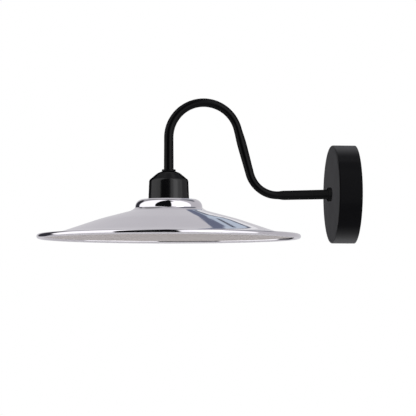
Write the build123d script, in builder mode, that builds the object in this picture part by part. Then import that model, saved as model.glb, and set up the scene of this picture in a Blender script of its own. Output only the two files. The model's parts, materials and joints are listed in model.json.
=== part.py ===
from build123d import *
import os
from math import cos, pi, radians, sin, sqrt, tan

# Gooseneck wall light, in millimetres. The wall is the plane X = 0 and the arm reaches out
# along -X. The origin is the centre of the wall bracket's back face, and +Z is up.

os.makedirs("parts", exist_ok=True)

# ---------------------------------------------------------------- driving dimensions
# Overall layout
arm_reach = 187.0  # front of the rose to the lamp's axis
crown_height = 103.6  # top of the arm's centreline above the rose's centre
shade_drop = 6.7  # top of the shade below the rose's centre

# Rose, a shallow cup with its open side on the wall
rose_radius = 56.0
rose_depth = 26.6
rose_wall = 1.2
rose_edge = 1.6

# Wall bracket, a strap with a lug bent forward at each end
strap_width = 24.0
strap_thickness = 2.0
strap_corner_radius = 4.0
lug_width = 14.0
lug_length = 12.0
lug_gap = 0.3
lug_bend_land = 0.2  # flat left at the back of each bend
cable_hole_radius = 6.0
slot_spacing = 80.0
slot_length = 14.0
slot_width = 4.6

# Rose grub screws, through the rose's side into the lugs
grub_radius = 2.0
grub_length = 8.0
grub_socket_width = 2.0
grub_socket_depth = 2.5
grub_setback = 8.0  # screw axis in front of the wall

# Earth stud with its washer, nut and tag
stud_radius = 2.0
stud_length = 10.0
stud_drop = 21.0  # below the centre of the strap
stud_chamfer = 0.4
earth_tag_radius = 4.0
earth_tag_thickness = 0.8
tag_lean = 40.0  # degrees from straight up
tag_barrel_length = 6.5
tag_barrel_radius = 1.7
tag_barrel_setback = 1.0  # barrel beyond the ring's edge
tag_barrel_floor = 1.0
tag_neck_width = 3.0
earth_washer_radius = 4.2
earth_washer_thickness = 0.9
earth_washer_teeth = 8
earth_notch_depth = 1.2
earth_notch_width = 0.9
earth_nut_width = 7.0
earth_nut_thickness = 3.0

# Three-way terminal block
block_rise = 21.0  # centre above the rose's centre
block_pitch = 10.0
block_length = 17.0
pole_width = 8.4
pole_height = 12.5
pole_corner_radius = 1.2
pole_edge = 0.6
web_height = 6.0
web_width = 7.0
block_bore_radius = 2.5
block_bore_height = 5.2
block_poles = 3
insert_radius = 2.4
insert_bore = 1.5
insert_length = 14.0
clamp_screw_radius = 1.3
clamp_screw_setback = 4.0  # screw axis from each end of the block
clamp_screw_sink = 2.0  # top of the screw below the top of the pole
clamp_well_gap = 0.5
fixing_screw_radius = 1.25
fixing_head_radius = 2.2
fixing_head_thickness = 1.6
fixing_slot_width = 0.6
head_gap = 0.1
driver_slot_width = 0.5
driver_slot_depth = 0.8

# Arm: a bent tube, threaded at both ends
tube_radius = 5.35
tube_bore = 3.9
thread_radius = 5.0
arch_radius = 40.2
lean_angle = 15.6  # degrees from upright, of the leg on the wall side
elbow_radius = 32.8
rose_thread_reach = 8.2  # thread behind the front of the rose
lamp_thread_end = 15.5  # height of the arm's lower end above the rose's centre

# Rings, washer and nut on the arm's threads
collar_radius = 7.9
rose_collar_width = 4.2
cap_collar_width = 1.9
collar_edge = 0.4
lock_washer_radius = 8.5
lock_washer_thickness = 1.0
lock_washer_teeth = 12
lock_notch_depth = 3.0
lock_notch_width = 1.4
arm_nut_width = 14.0
arm_nut_thickness = 3.5
bush_flange_radius = 4.8
bush_flange_thickness = 1.2
bush_depth = 6.0
bush_bore = 3.2
bush_edge = 0.4

# Lamp holder cap
cap_height = 31.9
cap_base_radius = 23.1
cap_shoulder_radius = 22.2
cap_shoulder_rise = 21.8
cap_break_radius = 12.5
cap_break_rise = 29.8
cap_top_radius = 7.2
cap_wall = 1.0
cap_shoulder_round = 4.0
cap_break_round = 9.0

# Lamp holder housings
dome_radius = 20.6
dome_wall = 2.0
dome_side_height = 13.8
boss_radius = 8.4
boss_chamfer = 1.8
boss_side_height = 3.0  # straight side under its chamfer
dome_floor_rise = 4.9  # bottom of the upper housing above the top of the shade
dome_roof_drop = 9.2  # inner roof below the top of the boss
dome_roof_radius = 9.4
dome_shoulder_thickness = 1.2
skirt_radius = 19.8
skirt_bore = 17.0
skirt_length = 29.1  # below the top of the shade
skirt_flange_gap = 0.3
skirt_spigot_height = 3.0
skirt_lip = 1.4
skirt_lip_height = 2.0
skirt_chamfer = 0.8
dome_screw_radius = 1.5
dome_screw_length = 3.0

# Contact block, threaded shell and contacts
block_disc_height = 6.0
block_spigot_height = 6.0
shell_radius = 13.1  # inside
shell_wall = 0.5
shell_length = 25.5
shell_round_height = 3.5
shell_flat_radius = 12.2
shell_opening = 8.6
shell_lip = 0.6
rivet_radius = 1.1
rivet_head_radius = 1.5
rivet_head_height = 0.5
rivet_circle = 10.4
shell_rivet_count = 3
terminal_size = 6.0
terminal_height = 3.6
terminal_wire_bore = 1.25
terminal_offset = 9.5
terminal_screw_radius = 1.2
terminal_screw_length = 3.0
contact_width = 5.0
contact_thickness = 0.5
contact_rivet_offset = 6.6
foot_width = 3.2
foot_tail = 1.8  # behind the rivet's centre
foot_reach = 1.8
tongue_gap = 0.3
tongue_length = 7.4
tongue_fall = 2.3
tongue_flat = 2.4

# Shade
shade_radius = 150.0
shade_sheet = 0.9
shade_hole_gap = 0.4
crown_flat_radius = 29.1
crown_round_radius = 9.0
crown_round_angle = 82.0
step_straight = 2.2  # from the end of the round to the corner under it
crease_radius = 0.9
ramp_slope = 38.0
ramp_length = 5.1
cove_radius = 16.0
upper_slope = 14.6
middle_slope = 18.5
lower_slope = 10.4
upper_cone_radius = 78.0  # where the upper slope gives way to the middle one
middle_cone_radius = 123.0  # where the middle slope gives way to the lower one
upper_blend = 200.0
lower_blend = 90.0
bead_radius = 2.7

# Shade ring
ring_flange_radius = 27.0
ring_flange_thickness = 2.2
ring_radius = 23.6
ring_height = 11.0
ring_grips = 30
grip_radius = 1.0
ring_chamfer = 0.8
thread_gap = 0.08

# Leads
wire_radius = 1.0
wire_spacing = 2.6
wire_seat = 2.5  # length of lead inside a terminal
wire_elbow = 4.0
lead_run = 4.0  # straight out of the bush
lead_turn_rise = 5.25
lead_bend = 5.0
lead_rise_bend = 6.0
earth_lead_run = 3.0  # straight out of the tag
earth_turn_rise = 4.2
earth_lead_bend = 6.0
earth_rise_bend = 12.0
lead_end_gap = 0.5

# Clearances
hole_gap = 0.2
screw_gap = 0.05

# ---------------------------------------------------------------- places worked out from them
rose_front = -rose_depth
rose_inner_radius = rose_radius - rose_wall
lamp_x = rose_front - arm_reach
shade_top = -shade_drop
cap_top = shade_top + cap_height
lamp_collar_top = cap_top + cap_collar_width
arch_height = crown_height - arch_radius
lug_face = sqrt(rose_inner_radius**2 - (lug_width / 2) ** 2) - lug_gap
rose_thread_end = rose_front + rose_thread_reach
skirt_flange_bottom = shade_top + skirt_flange_gap
dome_bottom = shade_top + dome_floor_rise
boss_top = cap_top - cap_wall
dome_roof = boss_top - dome_roof_drop
skirt_bottom = shade_top - skirt_length
spigot_top = dome_bottom + skirt_spigot_height
ceramic_top = spigot_top + block_disc_height
ceramic_bottom = spigot_top - block_spigot_height
dome_inner_radius = dome_radius - dome_wall
shade_hole = skirt_radius + shade_hole_gap
shade_underside = shade_top - shade_sheet

lamp_plane = Plane(origin=(lamp_x, 0, 0), x_dir=(1, 0, 0), z_dir=(0, -1, 0))
lamp_axis = Axis((lamp_x, 0, 0), (0, 0, 1))


def lamp_level(height):
    """Horizontal plane on the lamp's axis at a height."""
    return Plane(origin=(lamp_x, 0, height), x_dir=(1, 0, 0), z_dir=(0, 0, 1))


def wall_level(setback):
    """Upright plane facing the wall, a distance in front of it; local x is Y, local y is Z."""
    return Plane(origin=(-setback, 0, 0), x_dir=(0, 1, 0), z_dir=(1, 0, 0))


def save(piece, name):
    """Label a finished piece and write it to its own file."""
    piece.part.label = name
    export_step(piece.part, "parts/" + name + ".step")
    print(name, "solids", len(piece.part.solids()), "volume", round(piece.part.volume, 2))


# ---------------------------------------------------------------- rose
with BuildPart() as rose_cover:
    with BuildSketch(wall_level(0)):
        Circle(rose_radius)
    extrude(amount=-rose_depth)
    rose_rim = rose_cover.faces().sort_by(Axis.X)[-1]
    fillet(rose_cover.faces().sort_by(Axis.X)[0].edges(), radius=rose_edge)
    offset(amount=-rose_wall, openings=rose_rim)
    with BuildSketch(wall_level(rose_depth)):
        Circle(thread_radius + hole_gap)
    extrude(amount=rose_wall * 2, mode=Mode.SUBTRACT)
    with BuildSketch(Plane.XY):
        with Locations((-grub_setback, 0)):
            Circle(grub_radius + hole_gap)
    extrude(amount=rose_radius + 1, both=True, mode=Mode.SUBTRACT)
save(rose_cover, "rose_cover")

# ---------------------------------------------------------------- wall bracket
lug_root = lug_face - strap_thickness
neck_start = lug_root - strap_thickness

with BuildPart() as wall_bracket:
    with BuildSketch(wall_level(strap_thickness)):
        Rectangle(strap_width, 2 * neck_start)
        Rectangle(lug_width, 2 * lug_face)
    extrude(amount=strap_thickness)
    fillet(
        wall_bracket.edges().filter_by(Axis.X).group_by(SortBy.LENGTH)[-1].filter_by(
            lambda edge: abs(abs(edge.center().Y) - strap_width / 2) < strap_thickness / 2
        ),
        radius=strap_corner_radius,
    )
    with BuildSketch(wall_level(lug_length)):
        with GridLocations(0, 2 * lug_face - strap_thickness, 1, 2):
            Rectangle(lug_width, strap_thickness)
    extrude(amount=lug_length)
    outer_bends = wall_bracket.edges().filter_by(Axis.Y).filter_by(
        lambda edge: abs(abs(edge.center().Z) - lug_face) < screw_gap and edge.center().X > -screw_gap
    )
    fillet(outer_bends, radius=strap_thickness - lug_bend_land)
    with BuildSketch(wall_level(0)):
        Circle(cable_hole_radius)
        with GridLocations(0, slot_spacing, 1, 2):
            SlotOverall(slot_length, slot_width, rotation=90)
        with Locations((0, -stud_drop)):
            Circle(stud_radius + screw_gap)
        with Locations((block_pitch / 2, block_rise)):
            Circle(fixing_screw_radius + screw_gap)
    extrude(amount=-strap_thickness, mode=Mode.SUBTRACT)
    with BuildSketch(Plane.XY):
        with Locations((-grub_setback, 0)):
            Circle(grub_radius + screw_gap)
    extrude(amount=rose_radius, both=True, mode=Mode.SUBTRACT)
save(wall_bracket, "wall_bracket")

with BuildPart() as rose_grub_screws:
    for side in (1, -1):
        grub_end = Plane(origin=(-grub_setback, 0, side * rose_radius), z_dir=(0, 0, -side))
        with BuildSketch(grub_end):
            Circle(grub_radius)
        extrude(amount=grub_length)
        with BuildSketch(grub_end):
            RegularPolygon(grub_socket_width / 2, 6, major_radius=False)
        extrude(amount=grub_socket_depth, mode=Mode.SUBTRACT)
save(rose_grub_screws, "rose_grub_screws")

# ---------------------------------------------------------------- earth stud, washer, nut and tag
tag_front = strap_thickness + earth_tag_thickness
washer_front = tag_front + earth_washer_thickness

with BuildPart() as earth_stud:
    with BuildSketch(wall_level(0)):
        with Locations((0, -stud_drop)):
            Circle(stud_radius)
    extrude(amount=-stud_length)
    chamfer(earth_stud.faces().sort_by(Axis.X)[0].edges(), length=stud_chamfer)
save(earth_stud, "earth_stud")

with BuildPart() as earth_washer:
    with BuildSketch(wall_level(tag_front)):
        with Locations((0, -stud_drop)):
            Circle(earth_washer_radius)
            with PolarLocations(earth_washer_radius, earth_washer_teeth):
                Rectangle(earth_notch_depth, earth_notch_width, mode=Mode.SUBTRACT)
            Circle(stud_radius + screw_gap, mode=Mode.SUBTRACT)
    extrude(amount=-earth_washer_thickness)
save(earth_washer, "earth_washer")

with BuildPart() as earth_nut:
    with BuildSketch(wall_level(washer_front)):
        with Locations((0, -stud_drop)):
            RegularPolygon(earth_nut_width / 2, 6, major_radius=False)
            Circle(stud_radius + screw_gap, mode=Mode.SUBTRACT)
    extrude(amount=-earth_nut_thickness)
save(earth_nut, "earth_nut")

tag_direction = Vector(0, sin(radians(tag_lean)), cos(radians(tag_lean)))
stud_centre = Vector(-strap_thickness, 0, -stud_drop)
barrel_reach = earth_tag_radius + tag_barrel_setback
barrel_start = stud_centre + tag_direction * barrel_reach - Vector(tag_barrel_radius, 0, 0)
barrel_end = barrel_start + tag_direction * tag_barrel_length
barrel_plane = Plane(origin=barrel_start, x_dir=(1, 0, 0), z_dir=tag_direction)

with BuildPart() as earth_tag:
    with BuildSketch(wall_level(strap_thickness)):
        with Locations((0, -stud_drop)):
            Circle(earth_tag_radius)
            with Locations(Rotation(0, 0, 90 - tag_lean)):
                with Locations((earth_tag_radius, 0)):
                    Rectangle(2 * earth_tag_radius, tag_neck_width)
            Circle(stud_radius + screw_gap, mode=Mode.SUBTRACT)
    extrude(amount=-earth_tag_thickness)
    with BuildSketch(barrel_plane):
        Circle(tag_barrel_radius)
    extrude(amount=tag_barrel_length)
    with BuildSketch(barrel_plane.offset(tag_barrel_length)):
        Circle(wire_radius + screw_gap)
    extrude(amount=tag_barrel_floor - tag_barrel_length, mode=Mode.SUBTRACT)
save(earth_tag, "earth_tag")

# ---------------------------------------------------------------- terminal block
pole_places = [block_pitch * (i - (block_poles - 1) / 2) for i in range(block_poles)]
clamp_offset = block_length / 2 - clamp_screw_setback
clamp_places = [(place, block_rise + end * clamp_offset) for end in (-1, 1) for place in pole_places]
pole_front = strap_thickness + pole_height
block_plane = Plane(
    origin=(-strap_thickness - block_bore_height, 0, block_rise), x_dir=(0, 1, 0), z_dir=(0, 0, -1)
)

with BuildPart() as terminal_block:
    with BuildSketch(wall_level(strap_thickness)):
        with Locations((0, block_rise)):
            Rectangle(block_pitch * (block_poles - 1) + pole_width, web_width)
    extrude(amount=-web_height)
    with BuildSketch(wall_level(strap_thickness)):
        with Locations([(place, block_rise) for place in pole_places]):
            RectangleRounded(pole_width, block_length, pole_corner_radius)
    extrude(amount=-pole_height)
    fillet(terminal_block.faces().filter_by(Axis.X).group_by(Axis.X)[0].edges(), radius=pole_edge)
    with BuildSketch(block_plane):
        with Locations([(place, 0) for place in pole_places]):
            Circle(block_bore_radius)
    extrude(amount=block_length, both=True, mode=Mode.SUBTRACT)
    with BuildSketch(wall_level(strap_thickness + block_bore_height)):
        with Locations(clamp_places):
            Circle(clamp_screw_radius + clamp_well_gap)
    extrude(amount=-pole_height, mode=Mode.SUBTRACT)
    with BuildSketch(wall_level(strap_thickness)):
        with Locations((block_pitch / 2, block_rise)):
            Circle(fixing_screw_radius + hole_gap)
    extrude(amount=-pole_height, mode=Mode.SUBTRACT)
    with BuildSketch(wall_level(strap_thickness + web_height)):
        with Locations((block_pitch / 2, block_rise)):
            Circle(fixing_head_radius + head_gap)
    extrude(amount=-pole_height, mode=Mode.SUBTRACT)
save(terminal_block, "terminal_block")

with BuildPart() as terminal_inserts:
    with BuildSketch(block_plane):
        with Locations([(place, 0) for place in pole_places]):
            Circle(insert_radius)
            Circle(insert_bore, mode=Mode.SUBTRACT)
    extrude(amount=insert_length / 2, both=True)
    with BuildSketch(wall_level(strap_thickness + block_bore_height)):
        with Locations(clamp_places):
            Circle(clamp_screw_radius + screw_gap)
    extrude(amount=-pole_height, mode=Mode.SUBTRACT)
save(terminal_inserts, "terminal_inserts")

with BuildPart() as terminal_screws:
    with BuildSketch(wall_level(pole_front - clamp_screw_sink)):
        with Locations(clamp_places):
            Circle(clamp_screw_radius)
    extrude(amount=pole_height - clamp_screw_sink - block_bore_height - wire_radius - screw_gap)
    with BuildSketch(wall_level(pole_front - clamp_screw_sink)):
        with Locations(clamp_places):
            Rectangle(2 * clamp_screw_radius, driver_slot_width)
    extrude(amount=driver_slot_depth, mode=Mode.SUBTRACT)
save(terminal_screws, "terminal_screws")

with BuildPart() as terminal_block_screw:
    with BuildSketch(wall_level(strap_thickness + web_height)):
        with Locations((block_pitch / 2, block_rise)):
            Circle(fixing_head_radius)
    extrude(amount=-fixing_head_thickness)
    with BuildSketch(wall_level(0)):
        with Locations((block_pitch / 2, block_rise)):
            Circle(fixing_screw_radius)
    extrude(amount=-strap_thickness - web_height)
    with BuildSketch(wall_level(strap_thickness + web_height + fixing_head_thickness)):
        with Locations((block_pitch / 2, block_rise)):
            Rectangle(2 * fixing_head_radius, fixing_slot_width)
    extrude(amount=driver_slot_depth, mode=Mode.SUBTRACT)
save(terminal_block_screw, "terminal_block_screw")

# ---------------------------------------------------------------- arm
lean_x = cos(radians(lean_angle))
lean_z = sin(radians(lean_angle))
arch_x = lamp_x + arch_radius
leg_top = (arch_x + arch_radius * lean_x, arch_height + arch_radius * lean_z)
leg_bottom_z = elbow_radius * (1 - lean_z)
leg_bottom_x = leg_top[0] + (leg_top[1] - leg_bottom_z) * tan(radians(lean_angle))
elbow_x = leg_bottom_x + elbow_radius * lean_x


def arm_line(lamp_end, rose_end):
    """Draw the arm's centreline from a height on the lamp's axis to a place behind the rose's front."""
    Line((lamp_x, lamp_end), (lamp_x, arch_height))
    CenterArc((arch_x, arch_height), arch_radius, 180, lean_angle - 180)
    Line(leg_top, (leg_bottom_x, leg_bottom_z))
    CenterArc((elbow_x, elbow_radius), elbow_radius, 180 + lean_angle, 90 - lean_angle)
    Line((elbow_x, 0), (rose_end, 0))


with BuildPart() as arm_tube:
    with BuildLine(Plane.XZ) as arm_path:
        arm_line(lamp_collar_top, rose_front - rose_collar_width)
    with BuildSketch(lamp_level(lamp_collar_top)):
        Circle(tube_radius)
        Circle(tube_bore, mode=Mode.SUBTRACT)
    sweep(path=arm_path.wire())
    with BuildSketch(lamp_level(lamp_thread_end)):
        Circle(thread_radius)
        Circle(tube_bore, mode=Mode.SUBTRACT)
    extrude(amount=lamp_collar_top - lamp_thread_end)
    with BuildSketch(wall_level(-rose_thread_end)):
        Circle(thread_radius)
        Circle(tube_bore, mode=Mode.SUBTRACT)
    extrude(amount=-rose_thread_reach - rose_collar_width)
save(arm_tube, "arm_tube")
arm_swept = pi * (tube_radius**2 - tube_bore**2) * arm_path.wire().length
arm_threads = pi * (thread_radius**2 - tube_bore**2) * (
    lamp_collar_top - lamp_thread_end + rose_thread_reach + rose_collar_width
)
print("arm volume by length", round(arm_swept + arm_threads, 2))


def arm_collar(seat, width):
    """Round collar threaded on the arm, from its seat outwards by a width."""
    with BuildPart() as piece:
        with BuildSketch(seat):
            Circle(collar_radius)
            Circle(thread_radius + thread_gap, mode=Mode.SUBTRACT)
        extrude(amount=width)
        chamfer(
            piece.edges().filter_by(GeomType.CIRCLE).group_by(SortBy.RADIUS)[-1],
            length=collar_edge,
        )
    return piece


rose_collar = arm_collar(wall_level(rose_depth), -rose_collar_width)
save(rose_collar, "rose_collar")
cap_collar = arm_collar(lamp_level(cap_top), cap_collar_width)
save(cap_collar, "cap_collar")

with BuildPart() as arm_lock_washer:
    with BuildSketch(wall_level(rose_depth - rose_wall)):
        Circle(lock_washer_radius)
        Circle(thread_radius + hole_gap, mode=Mode.SUBTRACT)
        with PolarLocations(lock_washer_radius, lock_washer_teeth):
            Rectangle(lock_notch_depth, lock_notch_width, mode=Mode.SUBTRACT)
    extrude(amount=lock_washer_thickness)
save(arm_lock_washer, "arm_lock_washer")

with BuildPart() as arm_nut:
    with BuildSketch(wall_level(rose_depth - rose_wall - lock_washer_thickness)):
        RegularPolygon(arm_nut_width / 2, 6, major_radius=False)
        Circle(thread_radius + thread_gap, mode=Mode.SUBTRACT)
    extrude(amount=arm_nut_thickness)
save(arm_nut, "arm_nut")

with BuildPart() as wire_bush:
    with BuildSketch(wall_level(-rose_thread_end)):
        Circle(bush_flange_radius)
        Circle(bush_bore, mode=Mode.SUBTRACT)
    extrude(amount=bush_flange_thickness)
    with BuildSketch(wall_level(-rose_thread_end)):
        Circle(tube_bore - screw_gap)
        Circle(bush_bore, mode=Mode.SUBTRACT)
    extrude(amount=-bush_depth)
    fillet(wire_bush.edges().filter_by(GeomType.CIRCLE).sort_by(Axis.X)[-2:], radius=bush_edge)
save(wire_bush, "wire_bush")

# ---------------------------------------------------------------- lamp holder cap
with BuildPart() as holder_cap:
    with BuildSketch(lamp_plane):
        with BuildLine():
            FilletPolyline(
                (cap_base_radius, shade_top),
                (cap_shoulder_radius, shade_top + cap_shoulder_rise),
                (cap_break_radius, shade_top + cap_break_rise),
                (cap_top_radius, cap_top),
                radius=(cap_shoulder_round, cap_break_round),
            )
            Line((cap_top_radius, cap_top), (0, cap_top))
            Line((0, cap_top), (0, shade_top))
            Line((0, shade_top), (cap_base_radius, shade_top))
        make_face()
    revolve(axis=lamp_axis)
    offset(amount=-cap_wall, openings=holder_cap.faces().sort_by(Axis.Z)[0])
    with BuildSketch(lamp_level(cap_top)):
        Circle(thread_radius + hole_gap)
    extrude(amount=-2 * cap_wall, mode=Mode.SUBTRACT)
save(holder_cap, "holder_cap")

# ---------------------------------------------------------------- lamp holder housings
dome_shoulder = dome_bottom + dome_side_height
boss_root = boss_top - boss_chamfer - boss_side_height
inner_shoulder = dome_shoulder - dome_shoulder_thickness
dome_screw_height = (boss_top + dome_roof) / 2
screw_plane = Plane(origin=(lamp_x, 0, dome_screw_height), x_dir=(1, 0, 0), z_dir=(0, -1, 0))

with BuildPart() as holder_dome:
    with BuildSketch(lamp_plane):
        with BuildLine():
            Polyline(
                (thread_radius + thread_gap, boss_top),
                (boss_radius - boss_chamfer, boss_top),
                (boss_radius, boss_top - boss_chamfer),
                (boss_radius, boss_root),
                (dome_radius, dome_shoulder),
                (dome_radius, dome_bottom),
                (dome_inner_radius, dome_bottom),
                (dome_inner_radius, inner_shoulder),
                (dome_roof_radius, dome_roof),
                (thread_radius + thread_gap, dome_roof),
                close=True,
            )
        make_face()
    revolve(axis=lamp_axis)
    with BuildSketch(screw_plane):
        Circle(dome_screw_radius + screw_gap)
    extrude(amount=dome_radius, mode=Mode.SUBTRACT)
save(holder_dome, "holder_dome")

with BuildPart() as dome_grub_screw:
    with BuildSketch(screw_plane.offset(thread_radius)):
        Circle(dome_screw_radius)
    extrude(amount=dome_screw_length)
    with BuildSketch(screw_plane.offset(thread_radius + dome_screw_length)):
        Rectangle(2 * dome_screw_radius, driver_slot_width)
    extrude(amount=-driver_slot_depth, mode=Mode.SUBTRACT)
save(dome_grub_screw, "dome_grub_screw")

with BuildPart() as holder_skirt:
    with BuildSketch(lamp_plane):
        with BuildLine():
            Polyline(
                (skirt_bore, spigot_top),
                (dome_inner_radius - thread_gap, spigot_top),
                (dome_inner_radius - thread_gap, dome_bottom),
                (dome_radius, dome_bottom),
                (dome_radius, skirt_flange_bottom),
                (skirt_radius, skirt_flange_bottom),
                (skirt_radius, skirt_bottom + skirt_chamfer),
                (skirt_radius - skirt_chamfer, skirt_bottom),
                (skirt_bore - skirt_lip, skirt_bottom),
                (skirt_bore - skirt_lip, skirt_bottom + skirt_lip_height),
                (skirt_bore, skirt_bottom + skirt_lip_height),
                close=True,
            )
        make_face()
    revolve(axis=lamp_axis)
save(holder_skirt, "holder_skirt")

# ---------------------------------------------------------------- contact block, shell and rivets
shell_top = ceramic_bottom
shell_plate = shell_top - shell_wall
shell_straight_top = shell_top - shell_round_height
shell_bottom = shell_top - shell_length

with BuildPart() as contact_block:
    with BuildSketch(lamp_level(spigot_top)):
        Circle(dome_inner_radius - hole_gap)
    extrude(amount=block_disc_height)
    with BuildSketch(lamp_level(spigot_top)):
        Circle(skirt_bore - hole_gap)
    extrude(amount=-block_spigot_height)
    with BuildSketch(lamp_level(ceramic_bottom)):
        with PolarLocations(rivet_circle, shell_rivet_count, start_angle=90):
            Circle(rivet_radius + screw_gap)
        with Locations((0, -contact_rivet_offset)):
            Circle(rivet_radius + screw_gap)
    extrude(amount=ceramic_top - ceramic_bottom, mode=Mode.SUBTRACT)
save(contact_block, "contact_block")

with BuildPart() as screw_shell:
    with BuildSketch(lamp_plane):
        with BuildLine():
            Polyline(
                (shell_opening, shell_top),
                (shell_flat_radius + shell_wall, shell_top),
                (shell_radius + shell_wall, shell_straight_top),
                (shell_radius + shell_wall, shell_bottom + shell_lip),
                (shell_radius + 2 * shell_wall, shell_bottom),
                (shell_radius + shell_wall, shell_bottom),
                (shell_radius, shell_bottom + shell_lip),
                (shell_radius, shell_straight_top),
                (shell_flat_radius, shell_plate),
                (shell_opening, shell_plate),
                close=True,
            )
        make_face()
    revolve(axis=lamp_axis)
    with BuildSketch(lamp_level(shell_top)):
        with PolarLocations(rivet_circle, shell_rivet_count, start_angle=90):
            Circle(rivet_radius + screw_gap)
    extrude(amount=-2 * shell_wall, mode=Mode.SUBTRACT)
save(screw_shell, "screw_shell")

with BuildPart() as shell_rivets:
    with BuildSketch(lamp_level(shell_plate)):
        with PolarLocations(rivet_circle, shell_rivet_count, start_angle=90):
            Circle(rivet_head_radius)
    extrude(amount=-rivet_head_height)
    with BuildSketch(lamp_level(shell_plate)):
        with PolarLocations(rivet_circle, shell_rivet_count, start_angle=90):
            Circle(rivet_radius)
    extrude(amount=ceramic_top - shell_plate)
save(shell_rivets, "shell_rivets")

# ---------------------------------------------------------------- centre contact
foot_bottom = ceramic_bottom - contact_thickness
hinge_y = -contact_rivet_offset + foot_reach + tongue_gap
contact_plane = Plane(origin=(lamp_x - contact_width / 2, 0, 0), x_dir=(0, 1, 0), z_dir=(1, 0, 0))

with BuildPart() as centre_rivet:
    with BuildSketch(lamp_level(foot_bottom)):
        with Locations((0, -contact_rivet_offset)):
            Circle(rivet_head_radius)
    extrude(amount=-rivet_head_height)
    with BuildSketch(lamp_level(foot_bottom)):
        with Locations((0, -contact_rivet_offset)):
            Circle(rivet_radius)
    extrude(amount=ceramic_top - foot_bottom)
save(centre_rivet, "centre_rivet")

with BuildPart() as centre_contact_foot:
    with BuildSketch(lamp_level(ceramic_bottom)):
        with Locations((0, -contact_rivet_offset + (foot_reach - foot_tail) / 2)):
            Rectangle(foot_width, foot_reach + foot_tail)
        with Locations((0, -contact_rivet_offset)):
            Circle(rivet_radius + screw_gap, mode=Mode.SUBTRACT)
    extrude(amount=-contact_thickness)
save(centre_contact_foot, "centre_contact_foot")

tongue_slope = tongue_fall / tongue_length
tongue_bottom = ceramic_bottom - tongue_gap - tongue_fall

with BuildPart() as centre_contact:
    with BuildSketch(contact_plane):
        with BuildLine():
            Polyline(
                (hinge_y, ceramic_bottom - tongue_gap),
                (hinge_y + tongue_length - tongue_flat, tongue_bottom),
                (hinge_y + tongue_length, tongue_bottom),
                (hinge_y + tongue_length, tongue_bottom - contact_thickness),
                (
                    hinge_y + tongue_length - tongue_flat - tongue_slope * contact_thickness,
                    tongue_bottom - contact_thickness,
                ),
                (hinge_y, ceramic_bottom - tongue_gap - contact_thickness),
                close=True,
            )
        make_face()
    extrude(amount=contact_width)
save(centre_contact, "centre_contact")

# ---------------------------------------------------------------- lamp holder terminals
terminal_axis = ceramic_top + terminal_height / 2
with BuildPart() as holder_terminals:
    with BuildSketch(lamp_level(ceramic_top)):
        with GridLocations(0, 2 * terminal_offset, 1, 2):
            Rectangle(terminal_size, terminal_size)
    extrude(amount=terminal_height)
    with BuildSketch(Plane(
        origin=(lamp_x, 0, terminal_axis), x_dir=(1, 0, 0), z_dir=(0, -1, 0)
    )):
        Circle(terminal_wire_bore)
    extrude(amount=dome_radius, both=True, mode=Mode.SUBTRACT)
    for side in (1, -1):
        with BuildSketch(Plane(
            origin=(lamp_x, side * terminal_offset, terminal_axis),
            x_dir=(0, 1, 0), z_dir=(1, 0, 0),
        )):
            Circle(terminal_screw_radius + screw_gap)
        extrude(amount=-terminal_size, mode=Mode.SUBTRACT)
save(holder_terminals, "holder_terminals")

with BuildPart() as holder_terminal_screws:
    for side in (1, -1):
        with BuildSketch(Plane(
            origin=(lamp_x - wire_radius - screw_gap, side * terminal_offset, terminal_axis),
            x_dir=(0, 1, 0), z_dir=(-1, 0, 0),
        )):
            Circle(terminal_screw_radius)
        extrude(amount=terminal_screw_length)
save(holder_terminal_screws, "holder_terminal_screws")

# ---------------------------------------------------------------- shade
crown_sin = sin(radians(crown_round_angle))
crown_cos = cos(radians(crown_round_angle))
step_start = (
    crown_flat_radius + crown_round_radius * crown_sin,
    shade_top - crown_round_radius * (1 - crown_cos),
)
crease = (step_start[0] + step_straight * crown_cos, step_start[1] - step_straight * crown_sin)
cone_start = (
    crease[0] + ramp_length * cos(radians(ramp_slope)),
    crease[1] - ramp_length * sin(radians(ramp_slope)),
)
rim_reach = shade_radius - bead_radius
cone_knee = (
    upper_cone_radius,
    cone_start[1] - (upper_cone_radius - cone_start[0]) * tan(radians(upper_slope)),
)
cone_flare = (
    middle_cone_radius,
    cone_knee[1] - (middle_cone_radius - upper_cone_radius) * tan(radians(middle_slope)),
)
rim = (rim_reach, cone_flare[1] - (rim_reach - middle_cone_radius) * tan(radians(lower_slope)))

with BuildPart() as shade:
    with BuildSketch(lamp_plane):
        with BuildLine():
            Line((shade_hole, shade_top), (crown_flat_radius, shade_top))
            CenterArc(
                (crown_flat_radius, shade_top - crown_round_radius),
                crown_round_radius,
                90,
                -crown_round_angle,
            )
            FilletPolyline(
                step_start,
                crease,
                cone_start,
                cone_knee,
                cone_flare,
                rim,
                radius=(crease_radius, cove_radius, upper_blend, lower_blend),
            )
            offset(amount=shade_sheet, side=Side.RIGHT)
        make_face()
        with Locations((rim[0], rim[1] - shade_sheet / 2)):
            Circle(bead_radius)
    revolve(axis=lamp_axis)
save(shade, "shade")

# ---------------------------------------------------------------- shade ring
with BuildPart() as shade_ring:
    with BuildSketch(lamp_level(shade_underside)):
        Circle(ring_flange_radius)
    extrude(amount=-ring_flange_thickness)
    chamfer(shade_ring.faces().sort_by(Axis.Z)[0].edges(), length=ring_chamfer)
    with BuildSketch(lamp_level(shade_underside - ring_flange_thickness)):
        Circle(ring_radius)
    extrude(amount=ring_flange_thickness - ring_height)
    chamfer(shade_ring.faces().sort_by(Axis.Z)[0].edges(), length=ring_chamfer)
    with BuildSketch(lamp_level(shade_underside - ring_height)):
        with PolarLocations(ring_radius + grip_radius / 2, ring_grips):
            Circle(grip_radius)
    extrude(amount=ring_height - ring_flange_thickness, mode=Mode.SUBTRACT)
    with BuildSketch(lamp_level(shade_underside)):
        Circle(skirt_radius + thread_gap)
    extrude(amount=-ring_height, mode=Mode.SUBTRACT)
save(shade_ring, "shade_ring")

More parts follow.
